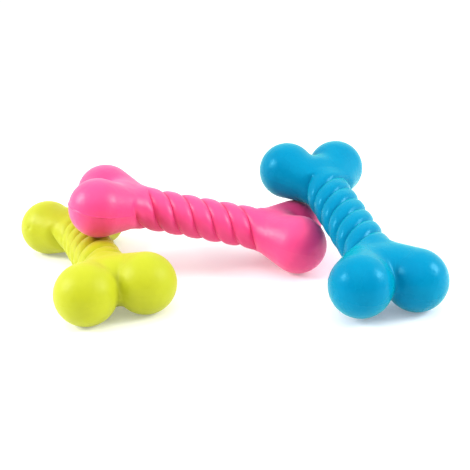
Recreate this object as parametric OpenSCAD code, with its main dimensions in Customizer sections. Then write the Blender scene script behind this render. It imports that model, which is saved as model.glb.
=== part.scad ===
// Three rubber chew bones of one mould, piled as in the photograph.
// Each bone is one moulding: an oval, three-strand twisted shaft that swells
// and blends into two pear-shaped lobes at each end. Its skin is lofted along
// the bone from one distance formula, and every ring of the loft turns with
// the twist, so that a row of points runs down each groove.

/* [Bone] */
// Overall length of a bone over its round ends
bone_length = 140; // [110:5:180]
// Diameter of each lobe at its round end
lobe_d = 31.5; // [30:0.1:34]
// Distance between the centres of the two lobes at one end
lobe_spacing = 29.9; // [26:0.1:30]
// Distance from the middle of the bone to the roots of the lobes, on its axis
root_reach = 28.8; // [26:0.2:31]
// Diameter of each lobe at its root
root_d = 16.2; // [14:0.2:18]
// How widely the crease between two lobes is rounded
crease_blend = 4; // [3:0.2:7]

/* [Twisted shaft] */
// Thickness of the shaft over the crests of its strands
shaft_thickness = 23; // [21:0.2:25]
// Width of the shaft over the crests of its strands, across the lobes
shaft_width = 25.8; // [24:0.2:28]
// Distance along the shaft from one groove to the next
strand_pitch = 10.6; // [9.4:0.2:12]
// Depth of the grooves between the strands
groove_depth = 1.9; // [1:0.1:2.4]
// Distance from the middle of the bone at which the grooves start to fade on its broad faces
groove_reach = 27.5; // [26:0.5:29]
// How much further they reach down its narrow sides
side_reach = 6; // [4:0.5:7]
// Length over which the grooves fade out
groove_fade = 4.5; // [3.5:0.5:7]
// Distance from the middle of the bone at which the shaft starts to swell
swell_start = 38.4; // [37:0.2:38.8]
// Distance from the middle of the bone to the centre of the shaft's round end
swell_reach = 44; // [42:0.2:46]
// Thickness of the shaft's round end, which shows between the lobes
swell_thickness = 25.6; // [24:0.2:27]
// How widely the shaft flows into the lobes
shaft_blend = 3; // [2:0.2:5]

/* [Pile] */
// Gap between two bones where one lies on the other
clearance = 0.3; // [0.2:0.05:0.5]
// How far a lobe is pressed flat where it stands on the floor
floor_give = 0.4; // [0.3:0.05:0.6]
// Heading of the lime bone, which lies flat
lime_heading = 111.4; // [106:0.1:116]
// Heading of the pink bone, which lies across the lime one
pink_heading = 0.6; // [-3:0.1:4]
// Sideways tilt of the pink bone
pink_roll = -1.8; // [-5:0.1:0]
// How far the middle of the pink bone lies to the right of the lime one's
pink_right = 59; // [57:0.1:62]
// How far the middle of the pink bone lies behind the lime one's
pink_behind = 11; // [8:0.1:13]
// Heading of the blue bone, which leans on the pink one
blue_heading = 106.6; // [103:0.1:109]
// Sideways tilt of the blue bone, which lies the other way up
blue_roll = 184.8; // [182:0.1:187]
// How far the middle of the blue bone lies to the right of the lime one's
blue_right = 137.9; // [135:0.1:142]
// How far the middle of the blue bone lies in front of the lime one's
blue_front = 10.4; // [8:0.1:13]

/* [Hidden] */

lime_green = "#dfe54c";
bright_pink = "#f85f9c";
sky_blue = "#03a5d4";

// The lobes are tapered bars with round ends, from root to round end.
lobe_r = lobe_d / 2;
root_r = root_d / 2;
lobe_reach = bone_length / 2 - lobe_r;
root_at = [root_reach, 0];
lobe_at = [lobe_reach, lobe_spacing / 2];
lobe_l = norm(lobe_at - root_at);
lobe_along = (lobe_at - root_at) / lobe_l;
lobe_across = [-lobe_along.y, lobe_along.x];

// So is the swell at each end of the shaft, which is as oval as the shaft.
shaft_r = shaft_thickness / 2;
shaft_oval = shaft_width / shaft_thickness;
swell_r = swell_thickness / 2;
swell_l = swell_reach - swell_start;

// The three strands make one turn of the twist in three pitches. The power
// sets how round the strands are between their grooves.
strands = 3;
strand_power = 2.8;
twist_lead = strands * strand_pitch;

// Facets: points around a ring, rings for each part, and steps of the solver.
facets_round = 36;
facet_angle = 360 / facets_round;
shaft_ring_turn = 2 * facet_angle;
lobe_rings = 7;
cap_rings = 7;
solver_steps = 12;

// The rings turn with the twist as far as a whole number of facets, so that
// rows of points lie on the lobes' creases.
turns_end = (groove_reach + side_reach) / twist_lead;
ring_turn_end = facet_angle * round(360 * turns_end / facet_angle);
turned_reach = twist_lead * ring_turn_end / 360;
shaft_rings = 2 * ceil(ring_turn_end / shaft_ring_turn);

function smooth_min(a, b, blend) = min(a, b) - pow(max(blend - abs(a - b), 0), 2) / (4 * blend);

// Distance from the skin of a tapered bar with round ends, for a point that is
// so far along it from its first centre and so far off its axis
function bar_gap(along, off, length, first_r, last_r) =
    let(slope = (first_r - last_r) / length)
    let(lean = sqrt(1 - slope * slope))
    let(side = along * lean - off * slope)
    side < 0 ? norm([off, along]) - first_r :
    side > lean * length ? norm([off, along - length]) - last_r :
    off * lean + along * slope - first_r;

function lobe_gap(x, y, z) =
    let(from_root = [x, y] - root_at)
    let(off = norm([from_root * lobe_across, z]))
    bar_gap(from_root * lobe_along, off, lobe_l, root_r, lobe_r);

function shaft_gap(x, y, z) =
    let(off = norm([y / shaft_oval, z]))
    let(past = x - swell_start)
    min(norm([off, max(past, 0)]) - shaft_r, bar_gap(past, off, swell_l, shaft_r, swell_r));

// How much of the grooves' depth is left at a distance from the middle
function groove_share(x, angle) =
    let(reach = groove_reach + side_reach * cos(angle) * cos(angle))
    let(gone = min(max((abs(x) - reach) / groove_fade, 0), 1))
    1 - gone * gone * (3 - 2 * gone);

// Round strands with a sharp groove between them, one of which runs over the
// top at the middle of the bone
function groove_at(x, angle) =
    let(turns = (angle - 90) / 360 - x / twist_lead)
    let(strand = turns * strands - floor(turns * strands))
    groove_depth * groove_share(x, angle) * pow(abs(2 * strand - 1), strand_power);

// Distance from the skin of a bone that lies along X: below zero inside
function bone_gap(p) =
    let(x = abs(p.x))
    let(y = abs(p.y))
    let(lobes = smooth_min(lobe_gap(x, y, p.z), lobe_gap(x, -y, p.z), crease_blend))
    smooth_min(lobes, shaft_gap(x, y, p.z), shaft_blend) + groove_at(p.x, atan2(p.z, p.y));

// Point where a ray leaves the bone, found by halving the stretch it lies in
function skin_point(from, ray, near, far, steps) =
    let(middle = (near + far) / 2)
    steps == 0 ? from + ray * middle :
    bone_gap(from + ray * middle) > 0 ? skin_point(from, ray, near, middle, steps - 1) :
    skin_point(from, ray, middle, far, steps - 1);

function skin_ring(x, turn, tip) =
    [for (i = [0 : facets_round - 1])
        let(angle = i * facet_angle + turn)
        let(ray = [sin(tip), cos(tip) * cos(angle), cos(tip) * sin(angle)])
        skin_point([x, 0, 0], ray, 0, lobe_spacing, solver_steps)];

// Places of the rings as [x, turn, tip] from one end of the bone to the other
cap_tips = [for (i = [1 : cap_rings]) 90 * i / (cap_rings + 1)];
lobe_step = (lobe_reach - turned_reach) / lobe_rings;
ring_places = concat(
    [for (i = [cap_rings - 1 : -1 : 0]) [-lobe_reach, -ring_turn_end, -cap_tips[i]]],
    [for (i = [0 : lobe_rings - 1]) [-lobe_reach + i * lobe_step, -ring_turn_end, 0]],
    [for (i = [0 : shaft_rings])
        let(share = 2 * i / shaft_rings - 1)
        [share * turned_reach, share * ring_turn_end, 0]],
    [for (i = [lobe_rings - 1 : -1 : 0]) [lobe_reach - i * lobe_step, ring_turn_end, 0]],
    [for (i = [0 : cap_rings - 1]) [lobe_reach, ring_turn_end, cap_tips[i]]]
);
ring_count = len(ring_places);

function notch_point(end) =
    skin_point([end * lobe_reach, 0, 0], [end, 0, 0], 0, lobe_r, solver_steps);

skin = concat(
    [notch_point(-1)],
    [for (place = ring_places) each skin_ring(place[0], place[1], place[2])],
    [notch_point(1)]
);

function at(ring, i) = 1 + ring * facets_round + i % facets_round;

skin_faces = concat(
    [for (i = [0 : facets_round - 1]) [0, at(0, i), at(0, i + 1)]],
    [for (ring = [0 : ring_count - 2]) for (i = [0 : facets_round - 1])
        each [
            [at(ring, i), at(ring + 1, i), at(ring, i + 1)],
            [at(ring, i + 1), at(ring + 1, i), at(ring + 1, i + 1)]
        ]],
    [for (i = [0 : facets_round - 1])
        [at(ring_count - 1, i), len(skin) - 1, at(ring_count - 1, i + 1)]]
);

// A pose is [place, heading, pitch, roll]. The bone rolls about its own
// length first, then pitches, then turns to its heading.
function roll_by(a, p) = [p.x, p.y * cos(a) - p.z * sin(a), p.y * sin(a) + p.z * cos(a)];
function pitch_by(a, p) = [p.x * cos(a) + p.z * sin(a), p.y, p.z * cos(a) - p.x * sin(a)];
function head_by(a, p) = [p.x * cos(a) - p.y * sin(a), p.x * sin(a) + p.y * cos(a), p.z];
function posed(pose, p) = pose[0] + head_by(pose[1], pitch_by(pose[2], roll_by(pose[3], p)));
function unposed(pose, p) = roll_by(-pose[3], pitch_by(-pose[2], head_by(-pose[1], p - pose[0])));

// Balls along the four lobes, as [centre, radius]: what touches comes first at one
lobe_balls = [
    for (end = [-1, 1]) for (side = [-1, 1]) for (share = [0 : 0.25 : 1])
        let(at = root_at + share * (lobe_at - root_at))
        [[end * at.x, side * at.y, 0], root_r + share * (lobe_r - root_r)]
];
lobe_centres = [for (end = [-1, 1]) for (side = [-1, 1]) [end * lobe_at.x, side * lobe_at.y, 0]];

// Least distance from the lobes of one bone to the skin of another
function lobes_gap(pose, other) =
    min([for (ball = lobe_balls) bone_gap(unposed(other, posed(pose, ball[0]))) - ball[1]]);

// Height at which a bone's lowest lobe stands on the floor
function standing(right, behind, heading, pitch, roll) =
    let(flat = [[0, 0, 0], heading, pitch, roll])
    let(drop = min([for (centre = lobe_centres) posed(flat, centre).z]))
    [[right, behind, lobe_r - floor_give - drop], heading, pitch, roll];

// The pink bone is pitched up at its left end until it clears the lime one,
// and the blue bone at its far end until it clears the pink one.
steepest = 40;
lean_steps = 20;
function pink_at(pitch) = standing(pink_right, pink_behind, pink_heading, pitch, pink_roll);
function pink_lean(low, high, steps) =
    let(pitch = (low + high) / 2)
    steps == 0 ? pink_at(pitch) :
    lobes_gap(pink_at(pitch), lime_pose) > clearance ? pink_lean(low, pitch, steps - 1) :
    pink_lean(pitch, high, steps - 1);
function blue_at(pitch) = standing(blue_right, -blue_front, blue_heading, pitch, blue_roll);
function blue_lean(low, high, steps) =
    let(pitch = (low + high) / 2)
    steps == 0 ? blue_at(pitch) :
    lobes_gap(pink_pose, blue_at(pitch)) > clearance ? blue_lean(pitch, high, steps - 1) :
    blue_lean(low, pitch, steps - 1);

lime_pose = standing(0, 0, lime_heading, 0, 0);
pink_pose = pink_lean(0, steepest, lean_steps);
blue_pose = blue_lean(-steepest, 0, lean_steps);

// The origin is on the floor under the middle of the pile.
pile_centres = [
    for (pose = [lime_pose, pink_pose, blue_pose]) for (centre = lobe_centres) posed(pose, centre)
];
pile_middle = [
    (min([for (c = pile_centres) c.x]) + max([for (c = pile_centres) c.x])) / 2,
    (min([for (c = pile_centres) c.y]) + max([for (c = pile_centres) c.y])) / 2,
    0
];

// A bone in its pose, cut flat where the floor presses its lobes
module bone(pose) {
    difference() {
        polyhedron([for (p = skin) posed(pose, p) - pile_middle], skin_faces);
        translate([pose[0].x, pose[0].y, 0] - pile_middle - [bone_length, bone_length, lobe_d])
            cube([2 * bone_length, 2 * bone_length, lobe_d]);
    }
}

module lime_bone() {
    color(lime_green) bone(lime_pose);
}

module pink_bone() {
    color(bright_pink) bone(pink_pose);
}

module blue_bone() {
    color(sky_blue) bone(blue_pose);
}

lime_bone();
pink_bone();
blue_bone();
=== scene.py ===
import math

import bpy
import numpy as np
from mathutils import Matrix, Vector


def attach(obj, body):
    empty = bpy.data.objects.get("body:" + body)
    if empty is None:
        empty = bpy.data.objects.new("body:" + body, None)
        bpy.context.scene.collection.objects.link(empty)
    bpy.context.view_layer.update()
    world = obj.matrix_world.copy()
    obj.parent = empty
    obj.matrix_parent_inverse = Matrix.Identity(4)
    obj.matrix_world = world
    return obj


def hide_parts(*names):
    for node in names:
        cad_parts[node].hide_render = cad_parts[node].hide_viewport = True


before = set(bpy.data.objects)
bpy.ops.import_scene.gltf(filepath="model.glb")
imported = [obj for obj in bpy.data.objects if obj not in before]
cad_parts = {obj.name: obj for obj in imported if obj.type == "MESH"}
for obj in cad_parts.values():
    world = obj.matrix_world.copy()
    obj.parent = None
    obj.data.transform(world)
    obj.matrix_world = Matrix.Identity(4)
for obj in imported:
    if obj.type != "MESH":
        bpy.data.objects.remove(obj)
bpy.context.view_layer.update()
mm = 0.001
print("frame loaded")

# One mould made all the bones. Lengths are in millimetres. Reaches and the swell's start
# are counted from the bone's middle, and strandStart is a share of a full turn.
bone = {
    "length": 140.0,
    "lobeDiameter": 31.5,
    "lobeSpacing": 29.9,
    "rootReach": 28.8,
    "rootDiameter": 16.2,
    "creaseBlend": 4.0,
    "shaftThickness": 23.0,
    "shaftWidth": 25.8,
    "strands": 3,
    "strandPitch": 10.6,
    "strandStart": 0.25,
    "strandPower": 2.8,
    "grooveDepth": 1.9,
    "grooveReach": 27.5,
    "grooveSideExtra": 6.0,
    "grooveFade": 4.5,
    "swellStart": 38.4,
    "swellReach": 44.0,
    "swellThickness": 25.6,
    "shaftBlend": 3.0,
}

# The marks that the mould left, in millimetres.
mouldMarks = {
    "lineWidth": 0.25,
    "gateDepth": 0.6,
    "gateRadius": 1.1,
}

# How finely the skin is drawn. Points are drawn together towards the mould line, and the
# step over which slopes are taken is in millimetres.
skin = {
    "round": 288,
    "shaftRings": 236,
    "lobeRings": 40,
    "capRings": 60,
    "solverSteps": 22,
    "slopeStep": 0.02,
    "towardsLine": 0.65,
}


# From a colour as #rrggbb to the linear one that the shaders take.
def srgbToLinear(code):
    parts = [int(code[i:i + 2], 16) / 255 for i in (1, 3, 5)]
    return [p / 12.92 if p <= 0.04045 else ((p + 0.055) / 1.055) ** 2.4 for p in parts] + [1.0]


def smoothStep(share):
    share = np.clip(share, 0, 1)
    return share * share * (3 - 2 * share)


# The nearer of two skins, with a rounded crease where they meet.
def smoothMin(a, b, blend):
    return np.minimum(a, b) - np.maximum(blend - np.abs(a - b), 0) ** 2 / (4 * blend)


# Distance from the skin of a tapered bar with round ends.
def barGap(along, off, length, firstR, lastR):
    slope = (firstR - lastR) / length
    lean = math.sqrt(1 - slope * slope)
    side = along * lean - off * slope
    gap = off * lean + along * slope - firstR
    gap = np.where(side < 0, np.hypot(off, along) - firstR, gap)
    return np.where(side > lean * length, np.hypot(off, along - length) - lastR, gap)


# One of the four tapered arms, with its lobe.
def lobeGap(x, y, z):
    tipX = (bone["length"] - bone["lobeDiameter"]) / 2 - bone["rootReach"]
    tipY = bone["lobeSpacing"] / 2
    length = math.hypot(tipX, tipY)
    ux, uy = tipX / length, tipY / length
    past = x - bone["rootReach"]
    off = np.hypot(y * ux - past * uy, z)
    return barGap(past * ux + y * uy, off, length, bone["rootDiameter"] / 2, bone["lobeDiameter"] / 2)


# The shaft is a little wider than thick and swells at its ends.
def shaftGap(x, y, z):
    shaftR = bone["shaftThickness"] / 2
    off = np.hypot(y * bone["shaftThickness"] / bone["shaftWidth"], z)
    past = x - bone["swellStart"]
    swell = barGap(past, off, bone["swellReach"] - bone["swellStart"], shaftR, bone["swellThickness"] / 2)
    return np.minimum(np.hypot(off, np.maximum(past, 0)) - shaftR, swell)


# The grooves fade out towards the lobes, later at the sides than on top.
def grooveShare(x, angle):
    reach = bone["grooveReach"] + bone["grooveSideExtra"] * np.cos(angle) ** 2
    return 1 - smoothStep((np.abs(x) - reach) / bone["grooveFade"])


# How far the skin is sunk between the twisted strands.
def grooveAt(x, y, z):
    angle = np.arctan2(z, y)
    turns = angle / math.tau - bone["strandStart"] - x / (bone["strands"] * bone["strandPitch"])
    strand = (turns * bone["strands"]) % 1.0
    return bone["grooveDepth"] * grooveShare(x, angle) * np.abs(2 * strand - 1) ** bone["strandPower"]


# Distance from the whole bone's skin, below zero inside it.
def boneGap(x, y, z):
    ax, ay = np.abs(x), np.abs(y)
    lobes = smoothMin(lobeGap(ax, ay, z), lobeGap(ax, -ay, z), bone["creaseBlend"])
    return smoothMin(lobes, shaftGap(ax, ay, z), bone["shaftBlend"]) + grooveAt(x, y, z)


# The skin is found along rays from the bone's axis, on rings that turn with the twist.
def boneSkin():
    lobeReach = (bone["length"] - bone["lobeDiameter"]) / 2
    n = skin["round"]
    step = math.tau / n
    lead = bone["strands"] * bone["strandPitch"]
    grooveEnd = bone["grooveReach"] + bone["grooveSideExtra"] + bone["grooveFade"] / 2
    turnEnd = step * round(math.tau * grooveEnd / lead / step)
    turned = lead * turnEnd / math.tau
    tips = np.arange(1, skin["capRings"] + 1) * (math.pi / 2) / (skin["capRings"] + 1)
    lobeXs = np.linspace(lobeReach, turned, skin["lobeRings"], endpoint=False)
    share = np.linspace(-1, 1, skin["shaftRings"] + 1)
    ends = np.full(len(tips), lobeReach)
    flat = np.full(len(tips) + len(lobeXs), turnEnd)
    xs = np.concatenate([-ends, -lobeXs, share * turned, lobeXs[::-1], ends])
    turns = np.concatenate([-flat, share * turnEnd, flat])
    lifts = np.concatenate([-tips[::-1], np.zeros(2 * len(lobeXs) + len(share)), tips])
    angles = turns[:, None] + np.arange(n)[None, :] * step
    drawn = skin["towardsLine"] * smoothStep((np.abs(xs) - turned) / (lobeReach - turned))
    angles = angles - drawn[:, None] * np.sin(2 * angles) / 2
    up = np.cos(lifts)[:, None]
    out = np.broadcast_to(np.sin(lifts)[:, None], angles.shape)
    rays = np.stack([out, up * np.cos(angles), up * np.sin(angles)], -1)
    rays = np.vstack([rays.reshape(-1, 3), [[-1, 0, 0], [1, 0, 0]]])
    starts = np.zeros_like(rays)
    starts[:, 0] = np.concatenate([np.repeat(xs, n), [-lobeReach, lobeReach]])
    near = np.zeros(len(rays))
    far = np.full(len(rays), bone["lobeSpacing"] + bone["lobeDiameter"])
    for _ in range(skin["solverSteps"]):
        middle = (near + far) / 2
        outside = boneGap(*(starts + rays * middle[:, None]).T) > 0
        far = np.where(outside, middle, far)
        near = np.where(outside, near, middle)
    rings = len(xs)
    first = np.arange(n)
    after = (first + 1) % n
    faces = []
    for a in range(0, (rings - 1) * n, n):
        faces += np.stack([a + first, a + n + first, a + n + after, a + after], 1).tolist()
    last = (rings - 1) * n
    tip = np.full(n, rings * n)
    faces += np.stack([tip, first, after], 1).tolist()
    faces += np.stack([last + first, tip + 1, last + after], 1).tolist()
    return starts + rays * near[:, None], faces


# The way straight out of the skin, from how the distance changes around each point.
def outward(points):
    steps = skin["slopeStep"] * np.eye(3)
    slopes = np.stack([boneGap(*(points + step).T) - boneGap(*(points - step).T) for step in steps], 1)
    return slopes / np.linalg.norm(slopes, axis=1, keepdims=True)


# A fine flash line runs round the lobes, in their plane, and ends at the twisted shaft. It
# is heavier at one end where the halves of the mould didn't close evenly.
def mouldLine(points, lineHeights):
    height = np.interp(points[:, 0], (-bone["rootReach"], bone["rootReach"]), lineHeights)
    height = height * np.exp(-(points[:, 2] / mouldMarks["lineWidth"]) ** 2)
    return height * (1 - grooveShare(points[:, 0], 0))


# The small dimple where the rubber went into the mould.
def gateMark(points, place):
    off = np.linalg.norm(points - np.array(place), axis=1) / mouldMarks["gateRadius"]
    return -mouldMarks["gateDepth"] * np.exp(-off ** 2)


mouldSkin, faces = boneSkin()
mouldOut = outward(mouldSkin)
print("skin", len(mouldSkin), "points")


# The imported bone's own place and turn, read from its mass: long way, broad way, thin way.
# Each triangle and the origin span a tetrahedron, and these are summed.
def poseOf(node, turnedOver):
    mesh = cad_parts[node].data
    mesh.calc_loop_triangles()
    corners = np.array([mesh.vertices[v].co for t in mesh.loop_triangles for v in t.vertices])
    corners = corners.reshape(-1, 3, 3)

    def volumes(c):
        return np.einsum("ij,ij->i", c[:, 0], np.cross(c[:, 1], c[:, 2]))

    parts = volumes(corners)
    centre = (parts[:, None] * corners.sum(1)).sum(0) / 4 / parts.sum()
    moved = corners - centre
    parts = volumes(moved)
    sums = moved.sum(1)
    spread = np.einsum("i,ij,ik->jk", parts, sums, sums) + np.einsum("i,iaj,iak->jk", parts, moved, moved)
    axes = np.linalg.eigh(spread)[1]
    along, up = axes[:, 2], axes[:, 0]
    up = up if (up[2] > 0) != turnedOver else -up
    return centre, np.stack([along, np.cross(up, along), up], 1)


# Makes a shader node, and sets or links its inputs by name.
def addNode(tree, kind, links=None, **settings):
    node = tree.nodes.new(kind)
    for name, value in settings.items():
        setattr(node, name, value)
    for socket, value in (links or {}).items():
        if isinstance(value, bpy.types.NodeSocket):
            tree.links.new(value, node.inputs[socket])
        else:
            node.inputs[socket].default_value = value
    return node


# How the rubber's skin varies. Sizes and depths are in millimetres. The grain of the
# blasting is drawn coarser than it really is, so that it shows.
rubberSkin = {
    "cloudSize": 16.0,
    "cloudDetail": 3.0,
    "cloudLow": 0.3,
    "cloudHigh": 0.7,
    "roughnessSpread": 0.04,
    "waveSize": 5.0,
    "waveDepth": 0.25,
    "grainSize": 0.7,
    "grainDepth": 0.03,
    "bumpDetail": 2.0,
    "bloomRoughness": 0.5,
}


# Solid rubber from a fine-blasted steel mould. The blasting leaves a soft grain that
# spreads the softboxes into pale patches, and the skin shrinks a little unevenly as it
# cools, which breaks the edges of those patches. A thin bloom lightens the rims.
def rubber(name, look):
    material = bpy.data.materials.new(name)
    material.use_nodes = True
    tree = material.node_tree
    shader = tree.nodes["Principled BSDF"]
    shader.inputs["Specular IOR Level"].default_value = look["shine"]
    shader.inputs["Specular Tint"].default_value = srgbToLinear(look["glossColour"])
    shader.inputs["Sheen Weight"].default_value = look["bloom"]
    shader.inputs["Sheen Tint"].default_value = srgbToLinear(look["bloomColour"])
    shader.inputs["Sheen Roughness"].default_value = rubberSkin["bloomRoughness"]
    place = addNode(tree, "ShaderNodeAttribute", attribute_name="mouldPlace").outputs["Vector"]
    cloud = addNode(tree, "ShaderNodeTexNoise", {
        "Vector": place,
        "Scale": 1 / rubberSkin["cloudSize"],
        "Detail": rubberSkin["cloudDetail"],
    })
    tint = addNode(tree, "ShaderNodeMix", {
        "Factor": cloud.outputs["Fac"],
        "A": srgbToLinear(look["shadeColour"]),
        "B": srgbToLinear(look["colour"]),
    }, data_type="RGBA")
    tree.links.new(tint.outputs["Result"], shader.inputs["Base Color"])
    rough = addNode(tree, "ShaderNodeMapRange", {
        "Value": cloud.outputs["Fac"],
        "From Min": rubberSkin["cloudLow"],
        "From Max": rubberSkin["cloudHigh"],
        "To Min": look["roughness"] - rubberSkin["roughnessSpread"],
        "To Max": look["roughness"] + rubberSkin["roughnessSpread"],
    })
    tree.links.new(rough.outputs["Result"], shader.inputs["Roughness"])
    waves = addNode(tree, "ShaderNodeTexNoise", {
        "Vector": place,
        "Scale": 1 / rubberSkin["waveSize"],
        "Detail": rubberSkin["bumpDetail"],
    })
    grain = addNode(tree, "ShaderNodeTexNoise", {
        "Vector": place,
        "Scale": 1 / rubberSkin["grainSize"],
        "Detail": rubberSkin["bumpDetail"],
    })
    shrunk = addNode(tree, "ShaderNodeBump", {
        "Height": waves.outputs["Fac"],
        "Distance": rubberSkin["waveDepth"] * mm,
    })
    blasted = addNode(tree, "ShaderNodeBump", {
        "Height": grain.outputs["Fac"],
        "Distance": rubberSkin["grainDepth"] * mm,
        "Normal": shrunk.outputs["Normal"],
    })
    tree.links.new(blasted.outputs["Normal"], shader.inputs["Normal"])
    return material


def makeBone(colour, look):
    node = colour + "_bone"
    centre, turn = poseOf(node, look["turnedOver"])
    lift = mouldLine(mouldSkin, look["lineHeights"])
    for gate in look["gates"]:
        lift = lift + gateMark(mouldSkin, gate)
    points = (mouldSkin + mouldOut * lift[:, None]) * mm @ turn.T + centre
    points[:, 2] = np.maximum(points[:, 2], 0)  # nothing dips below the floor
    mesh = bpy.data.meshes.new(colour + "_rubber_bone")
    mesh.from_pydata(points.tolist(), [], faces)
    mesh.shade_smooth()
    mould = mesh.attributes.new("mouldPlace", "FLOAT_VECTOR", "POINT")
    mould.data.foreach_set("vector", mouldSkin.astype(np.float32).ravel())
    piece = bpy.data.objects.new(colour + "_rubber_bone", mesh)
    bpy.context.scene.collection.objects.link(piece)
    mesh.materials.append(rubber(colour + " rubber, moulded in blasted steel", look))
    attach(piece, colour)
    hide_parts(node)
    print(colour, "bone made")


# Line heights, at the bone's two ends, and gate places are in millimetres.
limeBone = {
    "colour": "#bdc026",
    "shadeColour": "#b4ba1d",
    "glossColour": "#ffffff",
    "roughness": 0.48,
    "shine": 0.4,
    "bloom": 0.25,
    "bloomColour": "#faffb4",
    "lineHeights": (0.06, 0.06),
    "turnedOver": False,
    "gates": [(45.5, 27.3, 4.5)],
}
makeBone("lime", limeBone)

pinkBone = {
    "colour": "#ec5090",
    "shadeColour": "#e64688",
    "glossColour": "#ffdccc",
    "roughness": 0.41,
    "shine": 0.8,
    "bloom": 0.4,
    "bloomColour": "#ffd0d8",
    "lineHeights": (0.08, 0.36),
    "turnedOver": False,
    "gates": [],
}
makeBone("pink", pinkBone)

# The blue bone lies the other way up.
blueBone = {
    "colour": "#0092b6",
    "shadeColour": "#0086b0",
    "glossColour": "#9cf0ff",
    "roughness": 0.27,
    "shine": 0.25,
    "bloom": 0.25,
    "bloomColour": "#00ffb0",
    "lineHeights": (0.1, 0.1),
    "turnedOver": True,
    "gates": [],
}
makeBone("blue", blueBone)

# The sheet's reach, from the middle to each side, is in metres.
floorSheet = {"reach": 6.0, "white": 0.75, "roughness": 0.9, "litFromBelow": 0.27}


# A matt white acrylic sheet, lit from below as studios do for a pure white ground.
def makeFloor():
    r = floorSheet["reach"]
    mesh = bpy.data.meshes.new("floor")
    mesh.from_pydata([(-r, -r, 0), (r, -r, 0), (r, r, 0), (-r, r, 0)], [], [(0, 1, 2, 3)])
    floor = bpy.data.objects.new("floor", mesh)
    bpy.context.scene.collection.objects.link(floor)
    material = bpy.data.materials.new("matt white acrylic, lit from below")
    material.use_nodes = True
    shader = material.node_tree.nodes["Principled BSDF"]
    shader.inputs["Base Color"].default_value = [floorSheet["white"]] * 3 + [1]
    shader.inputs["Roughness"].default_value = floorSheet["roughness"]
    shader.inputs["Emission Color"].default_value = (1, 1, 1, 1)
    shader.inputs["Emission Strength"].default_value = floorSheet["litFromBelow"]
    mesh.materials.append(material)


makeFloor()
print("floor made")

# Two side softboxes give the pale patches on the lobes, and a broad one overhead fills
# in between them. They face the middle. Places and widths are in metres, power in watts.
lights = {
    "left softbox": {"place": (-0.97, -0.15, 0.68), "width": 0.44, "power": 9.6},
    "right softbox": {"place": (0.99, -0.13, 0.62), "width": 0.44, "power": 8.6},
    "overhead softbox": {"place": (0.0, -0.55, 0.95), "width": 1.0, "power": 2.6},
}

# The white room is darker behind the camera, which keeps the colours deep. It brightens
# between these two places, where -1 is behind the camera and 1 is at the back.
room = {"back": 1.15, "behindCamera": 0.46, "darkUpTo": -0.9, "brightFrom": 0.1}


def makeLights():
    for name, softbox in lights.items():
        light = bpy.data.lights.new(name, "AREA")
        light.size = softbox["width"]
        light.energy = softbox["power"]
        lamp = bpy.data.objects.new(name, light)
        bpy.context.scene.collection.objects.link(lamp)
        lamp.location = softbox["place"]
        lamp.rotation_euler = (-lamp.location).to_track_quat("-Z", "Y").to_euler()
    world = bpy.data.worlds.new("white room")
    world.use_nodes = True
    tree = world.node_tree
    way = addNode(tree, "ShaderNodeTexCoord").outputs["Generated"]
    back = addNode(tree, "ShaderNodeSeparateXYZ", {"Vector": way}).outputs["Y"]
    level = addNode(tree, "ShaderNodeMapRange", {
        "Value": back,
        "From Min": room["darkUpTo"],
        "From Max": room["brightFrom"],
        "To Min": room["behindCamera"],
        "To Max": room["back"],
    }, interpolation_type="SMOOTHSTEP")
    tree.links.new(level.outputs["Result"], tree.nodes["Background"].inputs["Strength"])
    tree.nodes["Background"].inputs["Color"].default_value = (1, 1, 1, 1)
    bpy.context.scene.world = world


makeLights()
print("lights made")

# The camera, as the photograph was taken, in millimetres and degrees. The shifts are
# shares of the picture's width, and a gamma below 1 deepens the middle tones.
camera = {
    "place": (25.8, -443.2, 188.3),
    "looksDown": 20.12,
    "leansRight": 2.5,
    "lens": 67.24,
    "sensor": 36.0,
    "shiftX": -0.0556,
    "shiftY": -0.0105,
    "nearest": 10.0,
    "gamma": 0.82,
}


def makeCamera():
    lens = bpy.data.cameras.new("camera")
    lens.lens = camera["lens"]
    lens.sensor_width = camera["sensor"]
    lens.shift_x = camera["shiftX"]
    lens.shift_y = camera["shiftY"]
    lens.clip_start = camera["nearest"] * mm
    view = bpy.data.objects.new("camera", lens)
    bpy.context.scene.collection.objects.link(view)
    down = Matrix.Rotation(math.radians(90 - camera["looksDown"]), 4, "X")
    lean = Matrix.Rotation(math.radians(-camera["leansRight"]), 4, "Z")
    view.matrix_world = Matrix.Translation(Vector(camera["place"]) * mm) @ down @ lean
    bpy.context.scene.camera = view
    film = bpy.context.scene.view_settings
    film.view_transform = "Standard"
    film.gamma = camera["gamma"]


makeCamera()
print("camera made")
